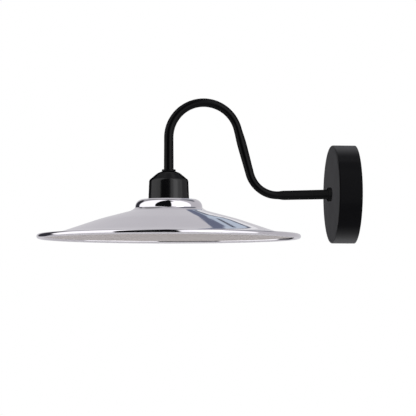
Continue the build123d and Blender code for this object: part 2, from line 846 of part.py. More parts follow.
# ---------------------------------------------------------------- leads
bush_end = rose_thread_end + bush_flange_thickness
block_axis_x = -strap_thickness - block_bore_height
block_entry = block_rise - insert_length / 2 + wire_seat
lead_offset = wire_spacing / 2


def lead(side, pole):
    """One lead from a holder terminal through the arm to a pole of the terminal block."""
    start = Vector(lamp_x, side * (terminal_offset - terminal_size / 2 + wire_seat), terminal_axis)
    with BuildLine(Plane.XZ.offset(-side * lead_offset)) as arm_run:
        arm_line(lamp_thread_end, bush_end)
    with BuildPart() as piece:
        with BuildLine() as route:
            FilletPolyline(
                start,
                (lamp_x, side * lead_offset, terminal_axis),
                (lamp_x, side * lead_offset, lamp_thread_end),
                radius=wire_elbow,
            )
            add(arm_run.line)
            FilletPolyline(
                (bush_end, side * lead_offset, 0),
                (bush_end + lead_run, side * lead_offset, 0),
                (block_axis_x, pole_places[pole], lead_turn_rise),
                (block_axis_x, pole_places[pole], block_entry),
                radius=(lead_bend, lead_rise_bend),
            )
        with BuildSketch(Plane(origin=start, x_dir=(1, 0, 0), z_dir=(0, -side, 0))):
            Circle(wire_radius)
        sweep(path=route.wire())
    swept = pi * wire_radius**2 * route.wire().length
    print("lead length", round(route.wire().length, 1), "volume by length", round(swept, 2))
    return piece


live_wire = lead(-1, 0)
save(live_wire, "live_wire")
neutral_wire = lead(1, 1)
save(neutral_wire, "neutral_wire")

with BuildPart() as earth_wire:
    with BuildLine() as earth_route:
        wire_start = barrel_start + tag_direction * (tag_barrel_floor + lead_end_gap)
        FilletPolyline(
            wire_start,
            barrel_end + tag_direction * earth_lead_run,
            Vector(block_axis_x, pole_places[2], earth_turn_rise),
            Vector(block_axis_x, pole_places[2], block_entry),
            radius=(earth_lead_bend, earth_rise_bend),
        )
    with BuildSketch(Plane(origin=wire_start, x_dir=(1, 0, 0), z_dir=tag_direction)):
        Circle(wire_radius)
    sweep(path=earth_route.wire())
save(earth_wire, "earth_wire")
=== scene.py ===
"""Gooseneck wall light: the looks of every piece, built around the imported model."""

import json
import logging
import math
from dataclasses import dataclass
from enum import Enum
from typing import Callable, Iterable

import bmesh
import bpy
from mathutils import Matrix, Vector

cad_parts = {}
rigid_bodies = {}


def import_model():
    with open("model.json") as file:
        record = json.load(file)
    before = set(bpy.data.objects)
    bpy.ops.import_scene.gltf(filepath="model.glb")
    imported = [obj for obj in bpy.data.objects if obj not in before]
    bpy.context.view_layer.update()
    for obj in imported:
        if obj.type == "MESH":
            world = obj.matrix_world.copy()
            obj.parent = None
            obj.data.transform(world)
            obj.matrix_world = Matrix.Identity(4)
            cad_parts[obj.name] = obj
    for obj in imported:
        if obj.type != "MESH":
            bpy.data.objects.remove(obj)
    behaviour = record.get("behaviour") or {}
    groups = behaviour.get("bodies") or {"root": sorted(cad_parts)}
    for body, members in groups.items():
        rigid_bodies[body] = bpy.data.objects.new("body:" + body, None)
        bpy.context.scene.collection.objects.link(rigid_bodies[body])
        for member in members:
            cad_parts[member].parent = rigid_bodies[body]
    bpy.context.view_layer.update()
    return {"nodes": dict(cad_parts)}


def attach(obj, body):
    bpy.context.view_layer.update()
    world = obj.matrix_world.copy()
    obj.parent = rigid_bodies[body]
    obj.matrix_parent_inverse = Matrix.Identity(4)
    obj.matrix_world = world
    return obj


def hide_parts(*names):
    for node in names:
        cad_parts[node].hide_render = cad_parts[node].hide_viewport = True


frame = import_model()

LOG = logging.getLogger("wall_light")
MM = 0.001

Colour = tuple[float, float, float]
Point = tuple[float, float]
Socket = bpy.types.NodeSocket
Value = Socket | float | Colour
Piece = bpy.types.Object
Mesh = bmesh.types.BMesh
Ring = list[bmesh.types.BMVert]


class Body(Enum):
    """Rigid groups that pieces ride on."""

    FIXTURE = "fixture"
    SHADE = "shade"


# ---- node trees


def colour_sockets(sockets: Iterable[Socket]) -> list[Socket]:
    """Pick a mix node's colour sockets, which share their names with its number sockets."""
    return [socket for socket in sockets if socket.type == "RGBA"]


class NodeGraph:
    """A node tree with short calls to add and join nodes."""

    def __init__(self, tree: bpy.types.NodeTree) -> None:
        """Work on a tree."""
        self.tree = tree

    def node(self, kind: str, **settings: object) -> bpy.types.Node:
        """Add a node.

        Args:
            kind: Blender's identifier of the node.
            **settings: attributes to set on it.

        Returns:
            The new node.
        """
        made = self.tree.nodes.new(kind)
        for key, value in settings.items():
            setattr(made, key, value)
        return made

    def feed(self, target: Socket, value: Value) -> None:
        """Link an input to an output socket, or set it to a constant.

        Args:
            target: the input.
            value: what it gets.
        """
        if isinstance(value, Socket):
            self.tree.links.new(value, target)
        else:
            target.default_value = value

    def math(self, operation: str, *values: Value) -> Socket:
        """Add a sum or function of numbers.

        Args:
            operation: Blender's identifier of the operation.
            *values: sockets or plain numbers.

        Returns:
            The result.
        """
        node = self.node("ShaderNodeMath", operation=operation)
        for target, value in zip(node.inputs, values):
            self.feed(target, value)
        return node.outputs["Value"]

    def span(
        self, value: Socket, low: float, high: float, start: float = 0.3, end: float = 0.7,
        interpolation: str = "LINEAR",
    ) -> Socket:
        """Map a value's middle range to another range.

        Args:
            value: the value to map.
            low: result at the start of the range.
            high: result at the end of the range.
            start: value where the result is low.
            end: value where the result is high.
            interpolation: Blender's identifier of the way between them.

        Returns:
            The mapped value.
        """
        mapped = self.node("ShaderNodeMapRange", interpolation_type=interpolation)
        names = ("Value", "From Min", "From Max", "To Min", "To Max")
        for name, number in zip(names, (value, start, end, low, high)):
            self.feed(mapped.inputs[name], number)
        return mapped.outputs["Result"]

    def blend(self, factor: Socket, first: Socket | Colour, second: Colour) -> Socket:
        """Mix two colours by a factor.

        Args:
            factor: 0 gives the first colour and 1 the second.
            first: socket or linear colour.
            second: linear colour.

        Returns:
            The mixed colour.
        """
        mix = self.node("ShaderNodeMix", data_type="RGBA")
        self.feed(mix.inputs["Factor"], factor)
        for target, colour in zip(colour_sockets(mix.inputs), (first, second)):
            self.feed(target, colour if isinstance(colour, Socket) else (*colour, 1.0))
        return colour_sockets(mix.outputs)[0]


class ShaderGraph(NodeGraph):
    """A material's node tree."""

    def __init__(self, name: str) -> None:
        """Start a material with a bare surface shader.

        Args:
            name: name of the material.
        """
        self.material = bpy.data.materials.new(name)
        self.material.use_nodes = True
        super().__init__(self.material.node_tree)
        self.surface = self.tree.nodes["Principled BSDF"]

    def set(self, **values: Value) -> None:
        """Feed the surface shader's inputs, named with underscores for spaces."""
        for key, value in values.items():
            self.feed(self.surface.inputs[key.replace("_", " ")], value)

    def position(self) -> Socket:
        """Return the point's place in the object's own frame, in metres."""
        return self.node("ShaderNodeTexCoord").outputs["Object"]

    def noise(self, size: float, detail: float = 3.0, stretch: Colour = (1, 1, 1)) -> Socket:
        """Add a noise of a given grain size.

        Args:
            size: size of a grain in metres.
            detail: octaves of finer grain.
            stretch: how many times finer the grain is along each axis.

        Returns:
            The noise's value, from 0 to 1.
        """
        mapping = self.node("ShaderNodeMapping")
        self.feed(mapping.inputs["Scale"], stretch)
        self.feed(mapping.inputs["Vector"], self.position())
        noise = self.node("ShaderNodeTexNoise")
        self.feed(noise.inputs["Vector"], mapping.outputs["Vector"])
        self.feed(noise.inputs["Scale"], 1.0 / size)
        self.feed(noise.inputs["Detail"], detail)
        return noise.outputs["Fac"]

    def mottle(self, cloud: Socket, first: Colour, second: Colour) -> None:
        """Colour the surface from a first colour to a second over a noise's middle range."""
        self.set(Base_Color=self.blend(self.span(cloud, 0.0, 1.0), first, second))

    def relief(self, height: Socket, depth: float, strength: float = 1.0) -> None:
        """Give the surface a fine relief.

        Args:
            height: the relief, from 0 to 1.
            depth: its depth in metres.
            strength: how much of it shows.
        """
        bump = self.node("ShaderNodeBump")
        for name, value in (("Height", height), ("Distance", depth), ("Strength", strength)):
            self.feed(bump.inputs[name], value)
        self.set(Normal=bump.outputs["Normal"])


# ---- finishes


def toned(colour: Colour, share: float) -> Colour:
    """Return a colour with its channels scaled by a share."""
    return tuple(channel * share for channel in colour)


@dataclass(frozen=True)
class Finish:
    """Looks of a surface, which each kind of finish builds as nodes in its own way."""

    name: str
    colour: Colour
    roughness: float

    def paint(self, graph: ShaderGraph) -> None:
        """Build the finish's nodes in an empty graph."""
        raise NotImplementedError

    def roughen(self, graph: ShaderGraph, cloud: Socket, low: float, high: float) -> None:
        """Vary the roughness with a noise, from a low to a high share of its own value."""
        graph.set(Roughness=graph.span(cloud, self.roughness * low, self.roughness * high))

    def material(self) -> bpy.types.Material:
        """Return the finish as a material."""
        graph = ShaderGraph(self.name)
        self.paint(graph)
        return graph.material


@dataclass(frozen=True)
class PowderCoat(Finish):
    """Sprayed and baked coat with a fine orange peel."""

    grain: float = 0.35 * MM
    depth: float = 0.012 * MM
    cloud: float = 30 * MM
    dark_share: float = 0.82  # of the colour, in the darkest clouds
    variation: float = 0.08  # of the roughness, either way
    specular: float = 0.5
    edge_roughness: float = 0.5  # where the coat is seen edge on
    edge_specular: float = 0.0
    # how far edge on each change starts and ends
    rough_fade: Point = (0.45, 0.85)
    specular_fade: Point = (0.25, 0.65)

    def paint(self, graph: ShaderGraph) -> None:
        """Build the finish's nodes."""
        peel = graph.noise(self.grain, detail=2.0)
        cloud = graph.noise(self.cloud, detail=4.0)
        graph.mottle(cloud, toned(self.colour, self.dark_share), self.colour)
        facing = graph.node("ShaderNodeLayerWeight").outputs["Facing"]
        low, high = self.roughness * (1 - self.variation), self.roughness * (1 + self.variation)
        added = graph.span(facing, 0.0, self.edge_roughness - self.roughness, *self.rough_fade)
        graph.set(
            Roughness=graph.math("ADD", graph.span(cloud, low, high), added),
            Specular_IOR_Level=graph.span(
                facing, self.specular, self.edge_specular, *self.specular_fade
            ),
        )
        graph.relief(peel, self.depth)


@dataclass(frozen=True)
class BrightPlate(Finish):
    """Polished plating on spun sheet, with a faint waviness and a haze of handling."""

    haze: float  # roughness that the haze adds
    haze_size: float = 22 * MM
    tint_share: float = 0.97  # of the colour, outside the haze
    wave_size: float = 14 * MM
    wave_depth: float = 0.01 * MM

    def paint(self, graph: ShaderGraph) -> None:
        """Build the finish's nodes."""
        haze = graph.noise(self.haze_size, detail=5.0)
        graph.mottle(haze, toned(self.colour, self.tint_share), self.colour)
        rough = graph.span(haze, self.roughness, self.roughness + self.haze, start=0.45, end=0.75)
        graph.relief(graph.noise(self.wave_size, detail=2.0), self.wave_depth, strength=0.5)
        graph.set(Roughness=rough, Metallic=1.0)


@dataclass(frozen=True)
class Lacquer(Finish):
    """Smooth sprayed lacquer, pale and satin."""

    cloud: float = 40 * MM
    dark_share: float = 0.96  # of the colour, in the darkest clouds
    variation: float = 0.1  # of the roughness, either way
    grain: float = 0.6 * MM
    depth: float = 0.008 * MM

    def paint(self, graph: ShaderGraph) -> None:
        """Build the finish's nodes."""
        cloud = graph.noise(self.cloud)
        graph.mottle(cloud, toned(self.colour, self.dark_share), self.colour)
        self.roughen(graph, cloud, 1 - self.variation, 1 + self.variation)
        graph.relief(graph.noise(self.grain, detail=2.0), self.depth, strength=0.4)


@dataclass(frozen=True)
class BareMetal(Finish):
    """Plain or plated metal with fine drawn lines and a cloudy tarnish."""

    tarnish: Colour
    stain: float = 4 * MM
    line: float = 0.25 * MM
    line_stretch: Colour = (1.0, 0.08, 1.0)  # grain along each axis, so that lines run along Y
    line_depth: float = 0.01 * MM
    dull_share: float = 1.25  # of the roughness, where it is tarnished
    clean_share: float = 0.8  # of the roughness, where it is clean

    def paint(self, graph: ShaderGraph) -> None:
        """Build the finish's nodes."""
        stain = graph.noise(self.stain, detail=5.0)
        lines = graph.noise(self.line, stretch=self.line_stretch)
        graph.mottle(stain, self.tarnish, self.colour)
        self.roughen(graph, stain, self.dull_share, self.clean_share)
        graph.relief(lines, self.line_depth, strength=0.6)
        graph.set(Metallic=1.0)


@dataclass(frozen=True)
class Moulded(Finish):
    """Moulded plastic, resin or ceramic, with a soft mottle and a fine skin."""

    mottle: Colour
    mottle_size: float = 6 * MM
    smooth_share: float = 0.9  # of the roughness, where it is smoothest
    rough_share: float = 1.12  # of the roughness, where it is roughest
    grain: float = 0.5 * MM
    depth: float = 0.01 * MM
    coat: float = 0.0
    coat_roughness: float = 0.12
    see_into: float = 0.0
    see_depth: Colour = (0.6 * MM, 0.5 * MM, 0.4 * MM)  # how far red, green and blue light reach

    def paint(self, graph: ShaderGraph) -> None:
        """Build the finish's nodes."""
        cloud = graph.noise(self.mottle_size, detail=4.0)
        graph.mottle(cloud, self.mottle, self.colour)
        self.roughen(graph, cloud, self.smooth_share, self.rough_share)
        graph.relief(graph.noise(self.grain), self.depth)
        graph.set(Coat_Weight=self.coat, Coat_Roughness=self.coat_roughness)
        if self.see_into:
            graph.set(Subsurface_Weight=self.see_into, Subsurface_Radius=self.see_depth)


@dataclass(frozen=True)
class StripedInsulation(Finish):
    """Two coloured insulation of an earth lead, in long stripes."""

    second: Colour
    stripe: float = 1.0 * MM
    stripe_edge: float = 0.06  # half the blur between stripes, as a share of the wave's height
    cloud: float = 3 * MM
    variation: float = 0.15  # of the roughness, either way
    grain: float = 0.4 * MM
    depth: float = 0.01 * MM

    def paint(self, graph: ShaderGraph) -> None:
        """Build the finish's nodes."""
        split = graph.node("ShaderNodeSeparateXYZ")
        graph.feed(split.inputs["Vector"], graph.position())
        turn = graph.math("MULTIPLY", split.outputs["Y"], math.pi / self.stripe)
        edge = graph.span(graph.math("SINE", turn), 0.0, 1.0, -self.stripe_edge, self.stripe_edge)
        graph.set(Base_Color=graph.blend(edge, self.colour, self.second))
        self.roughen(graph, graph.noise(self.cloud), 1 - self.variation, 1 + self.variation)
        graph.relief(graph.noise(self.grain), self.depth)


SATIN_DEPTH = 0.004 * MM
ROSE_COAT = PowderCoat(
    "rose_powder_coat", (0.0030, 0.0030, 0.0038), 0.30, specular=0.045, edge_specular=0.34
)
ARM_COAT = PowderCoat(
    "arm_satin_coat", (0.0025, 0.0025, 0.0030), 0.26,
    depth=SATIN_DEPTH, specular=0.08, edge_roughness=0.4,
)
CAP_COAT = PowderCoat(
    "cap_satin_coat", (0.0040, 0.0040, 0.0044), 0.20,
    depth=SATIN_DEPTH, specular=0.30, edge_roughness=0.28,
)
CHROME = BrightPlate("shade_bright_plate", (0.69, 0.67, 0.70), 0.035, 0.05)
LINING = Lacquer("shade_lining_lacquer", (0.50, 0.455, 0.435), 0.42)
FLOOR_PAINT = Lacquer("floor_paint", (0.86, 0.86, 0.86), 0.85)
BAKELITE = Moulded("holder_resin", (0.012, 0.011, 0.010), 0.28, (0.020, 0.017, 0.015), coat=0.25)
CERAMIC = Moulded("contact_ceramic", (0.80, 0.77, 0.71), 0.55, (0.72, 0.69, 0.62), see_into=0.1)
NYLON = Moulded("terminal_nylon", (0.78, 0.78, 0.73), 0.48, (0.70, 0.70, 0.64), see_into=0.15)
ZINC = BareMetal("zinc_plate", (0.60, 0.61, 0.62), 0.34, (0.46, 0.47, 0.47))
BRASS = BareMetal("plain_brass", (0.72, 0.52, 0.20), 0.30, (0.50, 0.34, 0.13))
NICKEL = BareMetal("nickel_plate", (0.66, 0.62, 0.54), 0.22, (0.50, 0.46, 0.39))
LIVE_SKIN = Moulded("live_insulation", (0.13, 0.040, 0.016), 0.40, (0.10, 0.030, 0.012))
NEUTRAL_SKIN = Moulded("neutral_insulation", (0.012, 0.085, 0.36), 0.40, (0.010, 0.065, 0.29))
EARTH_SKIN = StripedInsulation("earth_insulation", (0.08, 0.30, 0.03), 0.40, (0.75, 0.62, 0.04))


class Paintbox:
    """Makes each finish's material once and hands it out."""

    def __init__(self) -> None:
        """Start with no material made."""
        self.made: dict[str, bpy.types.Material] = {}

    def get(self, finish: Finish) -> bpy.types.Material:
        """Return the material of a finish, made on first use.

        Args:
            finish: the finish wanted.

        Returns:
            Its material.
        """
        if finish.name not in self.made:
            self.made[finish.name] = finish.material()
        return self.made[finish.name]

    def dress(self, node: str, finish: Finish) -> None:
        """Give a carried-over node a finish.

        Args:
            node: name of the node.
            finish: the finish it gets.
        """
        mesh = frame["nodes"][node].data
        mesh.materials.clear()
        mesh.materials.append(self.get(finish))


PAINT = Paintbox()


# ---- mesh tools


def rounded_path(corners: Iterable[Point], radii: Iterable[float], step: float) -> list[Point]:
    """Round the corners of an open outline with tangent arcs.

    Args:
        corners: the outline's corners, in millimetres.
        radii: radius of each inner corner; 0 keeps it sharp.
        step: longest distance between points, in degrees along arcs.

    Returns:
        Points along the rounded outline.
    """
    corners = [Vector(corner) for corner in corners]
    path = [corners[0]]
    for before, corner, after, radius in zip(corners, corners[1:], corners[2:], radii):
        inward = (before - corner).normalized()
        outward = (after - corner).normalized()
        half = inward.angle(outward) / 2
        if radius == 0 or math.isclose(half, math.pi / 2):
            path.append(corner)
            continue
        reach = radius / math.tan(half)
        centre = corner + (inward + outward).normalized() * (radius / math.sin(half))
        first = corner + inward * reach - centre
        turn = math.pi - 2 * half
        side = 1 if inward.x * outward.y - inward.y * outward.x < 0 else -1
        count = max(2, math.ceil(math.degrees(turn) / step))
        for index in range(count + 1):
            angle = side * turn * index / count
            path.append(centre + Matrix.Rotation(angle, 2) @ first)
    path.append(corners[-1])
    return [(point.x, point.y) for point in path]


def subdivided(path: list[Point], longest: float) -> list[Point]:
    """Add points to an outline's long stretches.

    Args:
        path: points of the outline.
        longest: longest stretch to leave.

    Returns:
        The outline with its long stretches divided evenly.
    """
    result = [path[0]]
    for start, end in zip(path, path[1:]):
        pieces = max(1, math.ceil(math.dist(start, end) / longest))
        for index in range(1, pieces + 1):
            result.append(tuple(Vector(start).lerp(Vector(end), index / pieces)))
    return result


MERGE_DISTANCE = 1e-7  # metres


def ease(first: float, last: float, share: float) -> float:
    """Blend two numbers smoothly."""
    return first + (last - first) * share * share * (3 - 2 * share)


def add_ring(build: Mesh, segments: int, place: Callable[[float], Vector]) -> Ring:
    """Add a ring of points, each where a rule puts its angle, in millimetres."""
    return [build.verts.new(place(2 * math.pi * index / segments) * MM) for index in range(segments)]


def join_rings(build: Mesh, first: Ring, second: Ring) -> None:
    """Join two rings by a band of faces.

    Args:
        build: mesh that they are in.
        first: one ring.
        second: another ring of as many points.
    """
    for index in range(len(first)):
        after = (index + 1) % len(first)
        build.faces.new((first[index], first[after], second[after], second[index]))


def around(radius: float, angle: float, height: float) -> Vector:
    """Return the point at a radius, an angle and a height of an upright axis."""
    return Vector((radius * math.cos(angle), radius * math.sin(angle), height))


def linked(name: str, data: bpy.types.ID) -> Piece:
    """Return a new object of a mesh or camera, linked to the scene."""
    piece = bpy.data.objects.new(name, data)
    bpy.context.scene.collection.objects.link(piece)
    return piece


def finish_mesh(name: str, build: Mesh, finish: Finish, smooth_angle: float) -> Piece:
    """Turn a built mesh into a dressed object.

    Args:
        name: name of the piece.
        build: the mesh, which is freed.
        finish: its finish.
        smooth_angle: edges sharper than this many degrees stay crisp.

    Returns:
        The new object.
    """
    bmesh.ops.remove_doubles(build, verts=build.verts, dist=MERGE_DISTANCE)
    bmesh.ops.recalc_face_normals(build, faces=build.faces)
    for edge in build.edges:
        if len(edge.link_faces) == 2:
            edge.smooth = edge.calc_face_angle(0.0) < math.radians(smooth_angle)
    for face in build.faces:
        face.smooth = True
    mesh = bpy.data.meshes.new(name)
    build.to_mesh(mesh)
    build.free()
    mesh.materials.append(PAINT.get(finish))
    return linked(name, mesh)


def turned(name: str, outline: list[Point], centre: Vector, turn: Matrix, finish: Finish,
           segments: int = 192, smooth_angle: float = 35.0) -> Piece:
    """Turn a closed outline about an axis, as on a lathe.

    Args:
        name: name of the piece.
        outline: closed outline of (radius, height) points in millimetres.
        centre: place of the axis, in millimetres.
        turn: rotation from an upright axis to the piece's own.
        finish: its finish.
        segments: steps round the axis.
        smooth_angle: edges sharper than this many degrees stay crisp.

    Returns:
        The new object.
    """
    build = bmesh.new()
    rings = [
        add_ring(build, segments, lambda angle: centre + turn @ around(radius, angle, height))
        for radius, height in outline
    ]
    for ring, other in zip(rings, [*rings[1:], rings[0]]):
        join_rings(build, ring, other)
    return finish_mesh(name, build, finish, smooth_angle)


RadiusRule = Callable[[float, float], float]
UPRIGHT = Matrix.Identity(3)
BENT_SMOOTH_ANGLE = 50.0
THREAD_SEGMENTS = 120


def coiled(name: str, outer: RadiusRule, inner: RadiusRule, low: float, high: float,
           centre: Vector, finish: Finish, rows: int) -> Piece:
    """Make an upright tube whose walls follow a radius of angle and height, such as a thread.

    Args:
        name: name of the piece.
        outer: outer radius at an angle and a height.
        inner: inner radius at an angle and a height.
        low: height of the bottom.
        high: height of the top.
        centre: place of the axis.
        finish: its finish.
        rows: steps along the axis.

    Returns:
        The new object.
    """
    build = bmesh.new()
    heights = [low + (high - low) * row / rows for row in range(rows + 1)]
    walls = [
        [
            add_ring(build, THREAD_SEGMENTS,
                     lambda angle: centre + around(radius_of(angle, height), angle, height))
            for height in heights
        ]
        for radius_of in (outer, inner)
    ]
    for wall in walls:
        for ring, above in zip(wall, wall[1:]):
            join_rings(build, ring, above)
    for end in (0, -1):
        join_rings(build, walls[0][end], walls[1][end])
    return finish_mesh(name, build, finish, BENT_SMOOTH_ANGLE)


# ---- sub-assemblies


@dataclass
class Layout:
    """Places that the sub-assemblies share, in millimetres."""

    rose_depth: float = 26.6
    arm_reach: float = 187.0
    crown_height: float = 103.6
    shade_drop: float = 6.7
    cap_height: float = 31.9
    cap_collar_width: float = 1.9
    rose_collar_width: float = 4.2

    @property
    def lamp_x(self) -> float:
        """Place of the lamp's axis."""
        return -(self.rose_depth + self.arm_reach)

    @property
    def lamp_centre(self) -> Vector:
        """Point of the lamp's axis at the height of the rose's centre."""
        return Vector((self.lamp_x, 0, 0))

    @property
    def shade_top(self) -> float:
        """Height of the top of the shade."""
        return -self.shade_drop

    @property
    def cap_top(self) -> float:
        """Height of the top of the cap."""
        return self.shade_top + self.cap_height


@dataclass
class Arm:
    """Bent tube from the rose up, over and down to the lamp holder."""

    layout: Layout
    tube_radius: float = 5.5
    tube_bore: float = 3.9
    arch_radius: float = 40.2
    lean_angle: float = 15.6  # degrees from upright, of the leg on the wall side
    elbow_radius: float = 32.8
    segments: int = 48
    arch_steps: int = 96
    elbow_steps: int = 48
    leg_steps: int = 12  # in each straight part of either leg
    easing_steps: int = 10
    run_steps: int = 8
    # widths in the bends' own plane, as shares of the tube's
    arch_start_width: float = 0.97
    arch_crown_width: float = 0.885
    arch_end_width: float = 0.84
    leg_width: float = 0.97
    elbow_width: float = 0.82
    run_width: float = 0.97
    elbow_easing: float = 0.06  # width that the leg keeps over the elbow's
    leg_share: float = 0.35  # of the leg, where its width is leg_width
    run_easing: float = 8.0  # length behind the elbow where the width comes back
    spread: float = 0.35  # of a pinch, that comes back as width across the bend
    bore_pinch: float = 0.02  # that the bore is pinched more than the outside
    elbow_sag: float = 1.4  # how far the elbow hangs below the rose's centre
    sag_reach: float = 50.0  # length of the run over which it gets there
    thread_segments: int = 96
    thread_radius: float = 5.0
    thread_pitch: float = 1.0
    thread_depth: float = 0.55
    rose_thread_reach: float = 8.2  # thread behind the front of the rose
    lamp_thread_end: float = 15.5  # height of the arm's lower end

    @property
    def run_end_x(self) -> float:
        """Place where the tube meets the collar at the rose."""
        return -self.layout.rose_depth - self.layout.rose_collar_width

    @property
    def lamp_end_z(self) -> float:
        """Height where the tube meets the collar on the cap."""
        return self.layout.cap_top + self.layout.cap_collar_width

    @staticmethod
    def heading(angle: float) -> Vector:
        """Return the direction at an angle in the arm's own upright plane."""
        return Vector((math.cos(angle), 0, math.sin(angle)))

    def stations(self) -> list[tuple[Vector, Vector, float]]:
        """Walk along the tube.

        Returns:
            Points, the direction at each, and the width there as a share of the straight tube's.
        """
        lean = math.radians(self.lean_angle)
        arch_height = self.layout.crown_height - self.arch_radius
        arch = Vector((self.layout.lamp_x + self.arch_radius, 0, arch_height))
        leg_top = arch + self.heading(lean) * self.arch_radius
        leg_bottom_z = self.elbow_radius * (1 - math.sin(lean))
        leg_length = (leg_top.z - leg_bottom_z) / math.cos(lean)
        leg_bottom = leg_top + self.heading(lean - math.pi / 2) * leg_length
        elbow = leg_bottom + self.heading(lean) * self.elbow_radius
        stations = []

        def put(point: Vector, direction: Vector, width: float) -> None:
            """Add one station of the walk."""
            sag = 0.0
            if point.x > arch.x:
                along = min(1.0, (self.run_end_x - point.x) / self.sag_reach)
                sag = self.elbow_sag * along * max(0.0, 1 - point.z / arch.z)
            stations.append((point - Vector((0, 0, sag)), direction, width))

        def straight(start: Vector, end: Vector, first: float, last: float, steps: int) -> None:
            """Add a straight stretch whose width eases from first to last."""
            for index in range(steps + 1):
                share = index / steps
                put(start.lerp(end, share), (end - start).normalized(), ease(first, last, share))

        axis = self.layout.lamp_centre
        low, high = (axis + Vector((0, 0, height)) for height in (self.lamp_end_z, arch_height))
        straight(low, high, 1.0, self.arch_start_width, self.leg_steps)
        for index in range(1, self.arch_steps + 1):
            share = index / self.arch_steps
            angle = math.pi - (math.pi - lean) * share
            half = share * 2
            width = (
                ease(self.arch_start_width, self.arch_crown_width, half)
                if half < 1
                else ease(self.arch_crown_width, self.arch_end_width, half - 1)
            )
            point = arch + self.heading(angle) * self.arch_radius
            put(point, self.heading(angle - math.pi / 2), width)
        middle = leg_top.lerp(leg_bottom, self.leg_share)
        eased_width = self.elbow_width + self.elbow_easing
        straight(leg_top, middle, self.arch_end_width, self.leg_width, self.leg_steps)
        straight(middle, leg_bottom, self.leg_width, eased_width, self.leg_steps)
        for index in range(1, self.elbow_steps + 1):
            share = index / self.elbow_steps
            angle = math.pi + lean + (math.pi / 2 - lean) * share
            width = ease(eased_width, self.elbow_width, min(1.0, share * 2))
            point = elbow + self.heading(angle) * self.elbow_radius
            put(point, self.heading(angle + math.pi / 2), width)
        start, middle, end = (
            Vector((x, 0, 0)) for x in (elbow.x, elbow.x + self.run_easing, self.run_end_x)
        )
        straight(start, middle, self.elbow_width, self.run_width, self.easing_steps)
        straight(middle, end, self.run_width, 1.0, self.run_steps)
        return stations

    def threaded_end(self, name: str, start: Vector, turn: Matrix, length: float) -> Piece:
        """Make one threaded end of the tube.

        Args:
            name: name of the piece.
            start: place where the thread's axis starts, in millimetres.
            turn: rotation from an upright axis to the thread's own.
            length: length of the thread.

        Returns:
            The new object.
        """
        count = 2 * round(length / self.thread_pitch)
        flanks = [
            (self.thread_radius - self.thread_depth * ((index + 1) % 2), length * index / count)
            for index in range(count + 1)
        ]
        outline = [(self.tube_bore, 0.0), *flanks, (self.tube_bore, length)]
        return turned(name, outline, start, turn, ARM_COAT, self.thread_segments)

    def build(self) -> list[Piece]:
        """Make the tube and its two threaded ends.

        Returns:
            The pieces.
        """
        tube = self.tube()
        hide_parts("arm_tube")
        rose_start = Vector((self.run_end_x, 0, 0))
        rose_length = self.layout.rose_collar_width + self.rose_thread_reach
        towards_wall = Matrix.Rotation(math.radians(90), 3, "Y")
        lamp_start = Vector((self.layout.lamp_x, 0, self.lamp_thread_end))
        lamp_length = self.lamp_end_z - self.lamp_thread_end
        pieces = [
            tube,
            self.threaded_end("arm_rose_thread", rose_start, towards_wall, rose_length),
            self.threaded_end("arm_lamp_thread", lamp_start, UPRIGHT, lamp_length),
        ]
        for piece in pieces:
            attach(piece, Body.FIXTURE.value)
        return pieces

    def tube(self) -> Piece:
        """Make the tube with its pinched bends.

        Returns:
            The tube.
        """
        build = bmesh.new()
        across = Vector((0, 1, 0))
        walls = [], []
        for point, direction, width in self.stations():
            inward = across.cross(direction)
            spread = 1 + (1 - width) * self.spread
            sizes = (self.tube_radius, width), (self.tube_bore, width - self.bore_pinch)
            for wall, (radius, pinch) in zip(walls, sizes):
                wide = min(spread * radius, self.tube_radius)
                wall.append(add_ring(build, self.segments, lambda angle: (
                    point + across * math.cos(angle) * wide + inward * math.sin(angle) * radius * pinch
                )))
        for wall in walls:
            for here, following in zip(wall, wall[1:]):
                join_rings(build, here, following)
        for end in (0, -1):
            join_rings(build, walls[0][end], walls[1][end])
        return finish_mesh("arm_bent_tube", build, ARM_COAT, BENT_SMOOTH_ANGLE)


